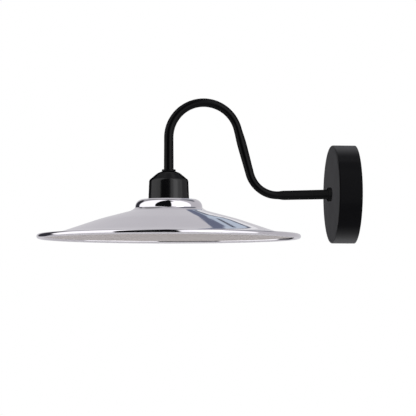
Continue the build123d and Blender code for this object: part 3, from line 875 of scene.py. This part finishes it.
@dataclass
class Shade:
    """Spun disc with a raised middle, a pale lining and a rolled rim."""

    layout: Layout
    radius: float = 150.0
    sheet: float = 0.9
    hole: float = 20.2
    crown_flat: float = 29.1
    crown_round: float = 9.0
    crown_angle: float = 82.0
    step: float = 2.2
    crease: float = 0.9
    ramp_slope: float = 38.0
    ramp: float = 5.1
    cove: float = 16.0
    upper_slope: float = 14.6
    middle_slope: float = 18.5
    lower_slope: float = 10.4
    upper_reach: float = 78.0
    middle_reach: float = 123.0
    upper_blend: float = 200.0
    lower_blend: float = 90.0
    bead: float = 2.7
    lining: float = 0.12
    lining_start: float = 7.0  # from the hole's edge to the lining's
    bead_steps: int = 40
    arc_step: float = 2.0  # degrees between points along arcs
    longest_stretch: float = 3.0
    segments: int = 288

    @staticmethod
    def slope(start: Point, reach: float, angle: float) -> Point:
        """Return where a slope of an angle in degrees, from a start, gets to at a reach."""
        return (reach, start[1] - (reach - start[0]) * math.tan(math.radians(angle)))

    def section(self) -> tuple[list[Point], Point]:
        """Work out the top surface's outline.

        Returns:
            Its points from the hole to the rim, and the rim's end.
        """
        top = self.layout.shade_top
        crown = math.radians(self.crown_angle)
        knuckle = self.crown_round * math.tan(crown / 2)
        corner = (self.crown_flat + knuckle, top)
        round_end = (
            self.crown_flat + self.crown_round * math.sin(crown),
            top - self.crown_round * (1 - math.cos(crown)),
        )
        step = self.step
        crease = (round_end[0] + step * math.cos(crown), round_end[1] - step * math.sin(crown))
        ramp = math.radians(self.ramp_slope)
        cone = (crease[0] + self.ramp * math.cos(ramp), crease[1] - self.ramp * math.sin(ramp))
        knee = self.slope(cone, self.upper_reach, self.upper_slope)
        flare = self.slope(knee, self.middle_reach, self.middle_slope)
        rim = self.slope(flare, self.radius - self.bead, self.lower_slope)
        corners = [(self.hole, top), corner, crease, cone, knee, flare, rim]
        radii = [self.crown_round, self.crease, self.cove, self.upper_blend, self.lower_blend]
        return subdivided(rounded_path(corners, radii, self.arc_step), self.longest_stretch), rim

    @staticmethod
    def offset(path: list[Point], distance: float) -> list[Point]:
        """Move an outline sideways, towards its underside.

        Args:
            path: points of the outline.
            distance: how far it moves.

        Returns:
            The moved points.
        """
        moved = []
        for index, point in enumerate(path):
            before = path[max(index - 1, 0)]
            after = path[min(index + 1, len(path) - 1)]
            along = Vector((after[0] - before[0], after[1] - before[1])).normalized()
            moved.append((point[0] + along.y * distance, point[1] - along.x * distance))
        return moved

    def build(self) -> list[Piece]:
        """Make the plated disc and its lining.

        Returns:
            The pieces.
        """
        path, rim = self.section()
        centre = self.layout.lamp_centre
        bead_centre = Vector((rim[0], rim[1] - self.sheet / 2))
        opening = math.asin(self.sheet / 2 / self.bead)
        top_angle = math.radians(180 - self.lower_slope) - opening
        bottom_angle = math.radians(-180 - self.lower_slope) + opening
        bead = []
        for index in range(self.bead_steps + 1):
            angle = top_angle + (bottom_angle - top_angle) * index / self.bead_steps
            place = bead_centre + Vector((math.cos(angle), math.sin(angle))) * self.bead
            bead.append((place.x, place.y))
        inside = self.radius - 2 * self.bead
        upper, lower, lowest = (
            [point for point in self.offset(path, depth) if point[0] < inside]
            for depth in (0.0, self.sheet, self.sheet + self.lining)
        )
        outline = upper + bead + lower[::-1]
        disc = turned("shade_spun_disc", outline, centre, UPRIGHT, CHROME, self.segments)
        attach(disc, Body.SHADE.value)
        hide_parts("shade")
        edge = self.hole + self.lining_start
        skin = [point for point in lower + lowest[::-1] if edge < point[0]]
        lining = turned("shade_lining", skin, centre, UPRIGHT, LINING, self.segments)
        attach(lining, Body.SHADE.value)
        return [disc, lining]


def thread_wave(angle: float, height: float, pitch: float) -> float:
    """Return a right-hand thread's wave, from 0 in the groove to 1 on the crest."""
    return 0.5 + 0.5 * math.cos(2 * math.pi * (height / pitch - angle / (2 * math.pi)))


@dataclass
class LampHolder:
    """Lower housing and lamp shell, with the threads that the construction leaves plain."""

    layout: Layout
    skirt_radius: float = 19.8
    skirt_bore: float = 17.0
    skirt_length: float = 29.1
    skirt_chamfer: float = 0.8
    skirt_lip: float = 1.4
    skirt_lip_height: float = 2.0
    flange_radius: float = 20.6
    flange_gap: float = 0.3
    flange_top: float = 4.9
    spigot_radius: float = 18.52
    spigot_height: float = 3.0
    skirt_pitch: float = 2.5
    skirt_depth: float = 0.5
    skirt_runout: float = 1.2
    skirt_rows: int = 140
    thread_top_gap: float = 0.5
    ceramic_spigot: float = 6.0
    shell_radius: float = 13.1
    shell_flat: float = 12.2
    shell_opening: float = 8.6
    shell_wall: float = 0.5
    shell_length: float = 25.5
    shell_round: float = 3.5
    shell_lip: float = 0.6
    shell_pitch: float = 3.62
    shell_depth: float = 0.75
    shell_runout: float = 1.6
    shell_rows: int = 150

    @staticmethod
    def faded(height: float, low: float, high: float, run: float) -> float:
        """Return the share of a thread's depth at a height, which runs out over its ends."""
        return max(0.0, min(1.0, (height - low) / run, (high - height) / run))

    def skirt(self) -> list[Piece]:
        """Make the lower housing: threaded wall, lip, flange and spigot.

        Returns:
            The pieces.
        """
        top = self.layout.shade_top
        bottom = top - self.skirt_length
        low = bottom + self.skirt_chamfer
        high = top - self.thread_top_gap
        lip_bore, lip_top = self.skirt_bore - self.skirt_lip, bottom + self.skirt_lip_height
        flange_bottom, flange_top = top + self.flange_gap, top + self.flange_top
        spigot_top = flange_top + self.spigot_height

        def wall(angle: float, height: float) -> float:
            """Outer radius of the threaded wall."""
            groove = 1 - thread_wave(angle, height, self.skirt_pitch)
            shown = self.faded(height, low, high, self.skirt_runout)
            return self.skirt_radius - self.skirt_depth * groove * shown

        centre = self.layout.lamp_centre
        thread = coiled(
            "holder_skirt_thread", wall, lambda angle, height: self.skirt_bore,
            low, high, centre, BAKELITE, self.skirt_rows,
        )
        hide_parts("holder_skirt")
        lip = turned("holder_skirt_lip", [
            (self.skirt_radius, low), (self.skirt_radius - self.skirt_chamfer, bottom),
            (lip_bore, bottom), (lip_bore, lip_top), (self.skirt_bore, lip_top),
            (self.skirt_bore, low),
        ], centre, UPRIGHT, BAKELITE)
        collar = turned("holder_skirt_flange", [
            (self.skirt_bore, high), (self.skirt_radius, high), (self.skirt_radius, flange_bottom),
            (self.flange_radius, flange_bottom), (self.flange_radius, flange_top),
            (self.spigot_radius, flange_top), (self.spigot_radius, spigot_top),
            (self.skirt_bore, spigot_top),
        ], centre, UPRIGHT, BAKELITE)
        return [thread, lip, collar]

    def shell(self) -> list[Piece]:
        """Make the lamp shell: rolled thread, flat top and flared mouth.

        Returns:
            The pieces.
        """
        top = self.layout.shade_top + self.flange_top + self.spigot_height - self.ceramic_spigot
        high = top - self.shell_round
        bottom = top - self.shell_length
        low = bottom + self.shell_lip

        def bore(angle: float, height: float) -> float:
            """Inner radius of the rolled thread."""
            crest = thread_wave(angle, height, self.shell_pitch)
            shown = self.faded(height, low, high, self.shell_runout)
            return self.shell_radius - self.shell_depth * crest * shown

        def wall(angle: float, height: float) -> float:
            """Outer radius of the rolled thread."""
            return bore(angle, height) + self.shell_wall

        centre = self.layout.lamp_centre
        outer = self.shell_radius + self.shell_wall
        thread = coiled(
            "screw_shell_thread", wall, bore, low, high, centre, NICKEL, self.shell_rows
        )
        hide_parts("screw_shell")
        plate = turned("screw_shell_plate", [
            (self.shell_opening, top), (self.shell_flat + self.shell_wall, top), (outer, high),
            (self.shell_radius, high), (self.shell_flat, top - self.shell_wall),
            (self.shell_opening, top - self.shell_wall),
        ], centre, UPRIGHT, NICKEL)
        mouth = turned("screw_shell_mouth", [
            (outer, low), (outer + self.shell_wall, bottom), (outer, bottom), (self.shell_radius, low),
        ], centre, UPRIGHT, NICKEL)
        return [thread, plate, mouth]

    def build(self) -> list[Piece]:
        """Make both threaded parts.

        Returns:
            The pieces.
        """
        skirt, shell = self.skirt(), self.shell()
        for piece in skirt + shell:
            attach(piece, Body.FIXTURE.value)
        return skirt + shell


@dataclass(frozen=True)
class SoftPatch:
    """A soft-edged part of the studio, in degrees, with azimuth 0 along +Y and 90 along +X."""

    azimuth: float
    elevation: float
    width: float
    height: float
    edge: float
    colour: Colour
    slant: float = 0.0  # degrees of azimuth that the patch leans over per degree of elevation


class StudioSky(NodeGraph):
    """The world's node tree: a plain base with soft patches laid over it."""

    def __init__(self, base: Colour) -> None:
        """Start the world with one colour all round.

        Args:
            base: linear colour of the studio where no patch covers it.
        """
        world = bpy.data.worlds.new("studio_sky")
        bpy.context.scene.world = world
        world.use_nodes = True
        super().__init__(world.node_tree)
        self.direction = self.node("ShaderNodeTexCoord").outputs["Generated"]
        self.colour: Socket | Colour = base

    def window(self, angle: Socket, half: float, edge: float) -> Socket:
        """Make a mask that is 1 near an angle of 0 and fades out past its half width.

        Args:
            angle: the angle in degrees.
            half: half the width, to the middle of the fade.
            edge: width of the fade.

        Returns:
            The mask.
        """
        off = self.math("ABSOLUTE", angle)
        return self.span(off, 0.0, 1.0, half + edge / 2, half - edge / 2, "SMOOTHSTEP")

    def lay(self, patch: SoftPatch) -> None:
        """Lay a patch over what is there.

        Args:
            patch: the patch.
        """
        turn = self.node("ShaderNodeVectorRotate", rotation_type="Z_AXIS")
        self.feed(turn.inputs["Angle"], math.radians(patch.azimuth))
        self.feed(turn.inputs["Vector"], self.direction)
        split = self.node("ShaderNodeSeparateXYZ")
        self.feed(split.inputs["Vector"], turn.outputs["Vector"])
        across = self.math("DEGREES", self.math("ARCTAN2", split.outputs["X"], split.outputs["Y"]))
        up = self.math("DEGREES", self.math("ARCSINE", split.outputs["Z"]))
        above = self.math("SUBTRACT", up, patch.elevation)
        if patch.slant:
            across = self.math("SUBTRACT", across, self.math("MULTIPLY", above, patch.slant))
        mask = self.math(
            "MULTIPLY",
            self.window(across, patch.width / 2, min(patch.edge, patch.width)),
            self.window(above, patch.height / 2, patch.edge),
        )
        self.colour = self.blend(mask, self.colour, patch.colour)

    def finish(self) -> None:
        """Show plain white to the camera, and the studio to everything else."""
        rays = self.node("ShaderNodeLightPath")
        background = self.tree.nodes["Background"]
        shown = self.blend(rays.outputs["Is Camera Ray"], self.colour, (1.0, 1.0, 1.0))
        self.feed(background.inputs["Color"], shown)
        self.feed(background.inputs["Strength"], 1.0)


STUDIO_BASE: Colour = (0.66, 0.65, 0.68)
# azimuth, elevation, width, height, edge, colour and slant; later patches cover earlier ones
STUDIO_PATCHES = (
    # corners of the room beyond the lamp, and its ceiling
    SoftPatch(-32, 8, 36, 60, 8, (0.04, 0.04, 0.05)),
    SoftPatch(-25, 55, 32, 28, 8, (0.30, 0.30, 0.31)),
    SoftPatch(47, 50, 34, 28, 8, (0.20, 0.21, 0.24)),
    SoftPatch(5, 81, 150, 18, 4, (0.12, 0.12, 0.13)),
    # dark room behind the camera
    SoftPatch(-153, 20.5, 62, 137, 6, (0.006, 0.006, 0.007)),
    # light boxes on both sides of the camera
    SoftPatch(-88, 32.5, 72, 113, 4, (1.5, 1.5, 1.52)),
    SoftPatch(140, 32.5, 74, 113, 4, (1.5, 1.5, 1.53)),
    SoftPatch(146, 20, 26, 60, 8, (3.0, 3.0, 3.05)),
    # gap between the boxes overhead
    SoftPatch(-162, 74, 78, 24, 12, (0.006, 0.006, 0.007)),
    # screen beyond the lamp, with its edges and seams
    SoftPatch(14.2, 17.2, 8.0, 3.6, 1.0, (0.92, 0.92, 0.94)),
    SoftPatch(14.2, 27.0, 6.4, 15.0, 0.5, (0.55, 0.63, 0.74), 0.3),
    SoftPatch(15.4, 31.1, 6.4, 6.8, 0.5, (0.17, 0.19, 0.27), 0.3),
    SoftPatch(11.3, 26.0, 1.35, 16.0, 0.3, (0.17, 0.19, 0.27), 0.3),
    SoftPatch(14.2, 19.6, 8.0, 1.6, 0.4, (0.14, 0.15, 0.20)),
    SoftPatch(13.2, 25.2, 0.5, 2.2, 0.3, (0.12, 0.13, 0.17), 0.35),
)


@dataclass
class Studio:
    """Floor, sky and camera."""

    layout: Layout
    lens: float = 300.0
    sensor: float = 36.0
    image: float = 416.0
    scale: float = 1.1335  # millimetres of the lamp's plane per pixel
    yaw: float = 7.7  # degrees that the camera stands towards the lamp's end
    rise: float = 2.2  # degrees that the rim's plane stands above the camera
    axis_pixel: Point = (168.7, 193.3)  # lamp's axis at the height of the rose's centre
    rim_height: float = -47.4
    floor_height: float = -4200.0
    floor_radius: float = 6000.0
    floor_segments: int = 96
    farthest: float = 50.0  # metres that the camera sees

    def camera(self) -> None:
        """Place the camera at the photograph's view."""
        distance = self.scale * self.image * self.lens / self.sensor
        yaw = math.radians(self.yaw)
        ahead = Vector((math.sin(yaw), math.cos(yaw), 0))
        right = Vector((math.cos(yaw), -math.sin(yaw), 0))
        middle = self.image / 2
        target = (
            self.layout.lamp_centre
            + right * ((middle - self.axis_pixel[0]) * self.scale)
            + Vector((0, 0, (self.axis_pixel[1] - middle) * self.scale))
        )
        eye = target - ahead * distance
        eye.z = self.rim_height - distance * math.tan(math.radians(self.rise))
        data = bpy.data.cameras.new("photo_camera")
        data.lens = self.lens
        data.sensor_width = self.sensor
        data.clip_end = self.farthest
        camera = linked("photo_camera", data)
        camera.location = eye * MM
        camera.rotation_euler = (target - eye).to_track_quat("-Z", "Y").to_euler()
        bpy.context.scene.camera = camera

    def build(self) -> None:
        """Set up the whole studio."""
        bpy.context.scene.view_settings.view_transform = "Standard"
        self.camera()
        sky = StudioSky(STUDIO_BASE)
        for patch in STUDIO_PATCHES:
            sky.lay(patch)
        sky.finish()
        self.floor()

    def floor(self) -> None:
        """Lay the pale round floor, which runs out into the white backdrop."""
        build = bmesh.new()
        bmesh.ops.create_circle(
            build, cap_ends=True, segments=self.floor_segments, radius=self.floor_radius * MM
        )
        mesh = bpy.data.meshes.new("studio_floor")
        build.to_mesh(mesh)
        build.free()
        floor = linked("studio_floor", mesh)
        floor.location = (self.layout.lamp_x * MM, 0, self.floor_height * MM)
        mesh.materials.append(PAINT.get(FLOOR_PAINT))


NODE_FINISHES: dict[Finish, tuple[str, ...]] = {
    ROSE_COAT: ("rose_cover",),
    ARM_COAT: ("arm_tube", "rose_collar", "cap_collar", "rose_grub_screws"),
    CAP_COAT: ("holder_cap",),
    CHROME: ("shade",),
    BAKELITE: ("holder_dome", "holder_skirt", "shade_ring"),
    CERAMIC: ("contact_block",),
    NYLON: ("terminal_block", "wire_bush"),
    ZINC: (
        "wall_bracket", "earth_washer", "terminal_screws", "terminal_block_screw",
        "arm_lock_washer", "dome_grub_screw", "holder_terminal_screws",
    ),
    BRASS: (
        "earth_stud", "earth_nut", "terminal_inserts", "arm_nut",
        "shell_rivets", "centre_rivet", "holder_terminals",
    ),
    NICKEL: ("earth_tag", "screw_shell", "centre_contact_foot", "centre_contact"),
    LIVE_SKIN: ("live_wire",),
    NEUTRAL_SKIN: ("neutral_wire",),
    EARTH_SKIN: ("earth_wire",),
}


def main() -> None:
    """Dress the carried-over nodes, build the detailed pieces and set up the studio."""
    logging.basicConfig(level=logging.INFO, format="%(name)s: %(message)s")
    layout = Layout()
    for finish, nodes in NODE_FINISHES.items():
        for node in nodes:
            PAINT.dress(node, finish)
        LOG.info("%s on %s", finish.name, ", ".join(nodes))
    for assembly in (Arm(layout), Shade(layout), LampHolder(layout)):
        for piece in assembly.build():
            LOG.info("built %s", piece.name)
    # the photographed plate mirrors the studio and none of the lamp's own pieces
    for piece in bpy.data.objects:
        piece.visible_glossy = False
    Studio(layout).build()


if __name__ == "__main__":
    main()
